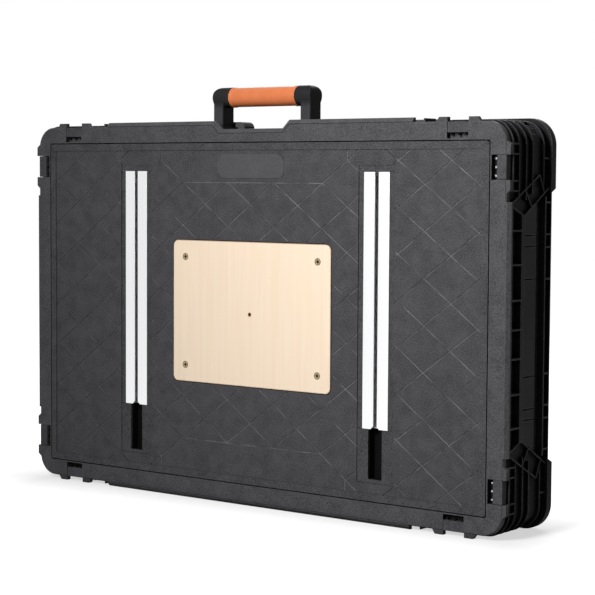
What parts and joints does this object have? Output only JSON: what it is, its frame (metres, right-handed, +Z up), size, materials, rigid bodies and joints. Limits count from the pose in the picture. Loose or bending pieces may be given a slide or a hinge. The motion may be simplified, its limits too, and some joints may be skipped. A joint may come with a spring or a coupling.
{
  "type": "folding workbench",
  "caption": "Portable moulded workbench with a gridded worktop, plywood insert, clamp rails and carry handle; its telescopic legs fold flat into the underside.",
  "frame": {"origin": "middle of the footprint of the folded bench, on the floor that it stands on", "axes": "+X along the length, +Y from the worktop face to the open underside, +Z up to the handle"},
  "size_m": [0.85, 0.118, 0.599],
  "materials": {
    "charcoal_plastic": "fine moulded texture, satin",
    "black_plastic": "moulded, satin",
    "orange_plastic": "moulded, satin",
    "aluminium": "extruded, anodised",
    "birch": "lacquered birch plywood",
    "steel": "zinc plated",
    "rubber": "matt"
  },
  "bodies": {
    "bench": {"rim_frame": "charcoal_plastic", "worktop_panel": "charcoal_plastic", "wood_insert": "birch", "insert_screws": "steel", "left_rail": "aluminium", "right_rail": "aluminium", "left_rail_bed": "charcoal_plastic", "right_rail_bed": "charcoal_plastic", "left_end_wall": "black_plastic", "right_end_wall": "black_plastic", "top_wall": "black_plastic", "bottom_wall": "black_plastic", "bumper_top_left": "charcoal_plastic", "bumper_top_right": "charcoal_plastic", "bumper_bottom_left": "charcoal_plastic", "bumper_bottom_right": "charcoal_plastic", "handle_left_post": "black_plastic", "handle_right_post": "black_plastic", "handle_grip": "orange_plastic", "handle_core_rod": "steel", "handle_screws": "steel", "leg_cradles": "black_plastic", "body_screws": "steel", "left_lock_bracket": "black_plastic", "left_upper_hinge_bracket": "black_plastic", "left_lower_hinge_bracket": "black_plastic", "right_lock_bracket": "black_plastic", "right_upper_hinge_bracket": "black_plastic", "right_lower_hinge_bracket": "black_plastic"},
    "left_legs": {"left_torque_tube": "steel", "left_lock_disc": "steel", "left_upper_knuckle": "black_plastic", "left_upper_leg_tube": "aluminium", "left_upper_collar": "black_plastic", "left_lower_knuckle": "black_plastic", "left_lower_leg_tube": "aluminium", "left_lower_collar": "black_plastic"},
    "left_upper_slide": {"left_upper_extension": "aluminium", "left_upper_foot": "rubber"},
    "left_upper_knob": {"left_upper_clamp_knob": "orange_plastic"},
    "left_lower_slide": {"left_lower_extension": "aluminium", "left_lower_foot": "rubber"},
    "left_lower_knob": {"left_lower_clamp_knob": "orange_plastic"},
    "left_lock": {"left_lock_plunger": "orange_plastic"},
    "right_legs": {"right_torque_tube": "steel", "right_lock_disc": "steel", "right_upper_knuckle": "black_plastic", "right_upper_leg_tube": "aluminium", "right_upper_collar": "black_plastic", "right_lower_knuckle": "black_plastic", "right_lower_leg_tube": "aluminium", "right_lower_collar": "black_plastic", "right_spreader": "black_plastic"},
    "right_upper_slide": {"right_upper_extension": "aluminium", "right_upper_foot": "rubber"},
    "right_upper_knob": {"right_upper_clamp_knob": "orange_plastic"},
    "right_lower_slide": {"right_lower_extension": "aluminium", "right_lower_foot": "rubber"},
    "right_lower_knob": {"right_lower_clamp_knob": "orange_plastic"},
    "right_lock": {"right_lock_plunger": "orange_plastic"}
  },
  "joints": [
    {"name": "left_leg_fold", "type": "hinge", "parent": "bench", "child": "left_legs", "pos_m": [-0.385, 0.011, 0.275], "axis": [0, 0, 1], "range_deg": [0, 90]},
    {"name": "left_upper_height", "type": "slide", "parent": "left_legs", "child": "left_upper_slide", "axis": [1, 0, 0], "range_m": [0, 0.08]},
    {"name": "left_upper_clamp_turn", "type": "hinge", "parent": "left_legs", "child": "left_upper_knob", "pos_m": [0.0505, 0.041, 0.503], "axis": [0, 1, 0], "range_deg": [0, 360]},
    {"name": "left_lower_height", "type": "slide", "parent": "left_legs", "child": "left_lower_slide", "axis": [1, 0, 0], "range_m": [0, 0.08]},
    {"name": "left_lower_clamp_turn", "type": "hinge", "parent": "left_legs", "child": "left_lower_knob", "pos_m": [0.0505, 0.041, 0.047], "axis": [0, 1, 0], "range_deg": [0, 360]},
    {"name": "left_lock_slide", "type": "slide", "parent": "bench", "child": "left_lock", "axis": [-1, 0, 0], "range_m": [0, 0.007]},
    {"name": "right_leg_fold", "type": "hinge", "parent": "bench", "child": "right_legs", "pos_m": [0.385, 0.011, 0.275], "axis": [0, 0, -1], "range_deg": [0, 90]},
    {"name": "right_upper_height", "type": "slide", "parent": "right_legs", "child": "right_upper_slide", "axis": [-1, 0, 0], "range_m": [0, 0.08]},
    {"name": "right_upper_clamp_turn", "type": "hinge", "parent": "right_legs", "child": "right_upper_knob", "pos_m": [-0.0505, 0.041, 0.463], "axis": [0, 1, 0], "range_deg": [0, 360]},
    {"name": "right_lower_height", "type": "slide", "parent": "right_legs", "child": "right_lower_slide", "axis": [-1, 0, 0], "range_m": [0, 0.08]},
    {"name": "right_lower_clamp_turn", "type": "hinge", "parent": "right_legs", "child": "right_lower_knob", "pos_m": [-0.0505, 0.041, 0.087], "axis": [0, 1, 0], "range_deg": [0, 360]},
    {"name": "right_lock_slide", "type": "slide", "parent": "bench", "child": "right_lock", "axis": [1, 0, 0], "range_m": [0, 0.007]}
  ]
}
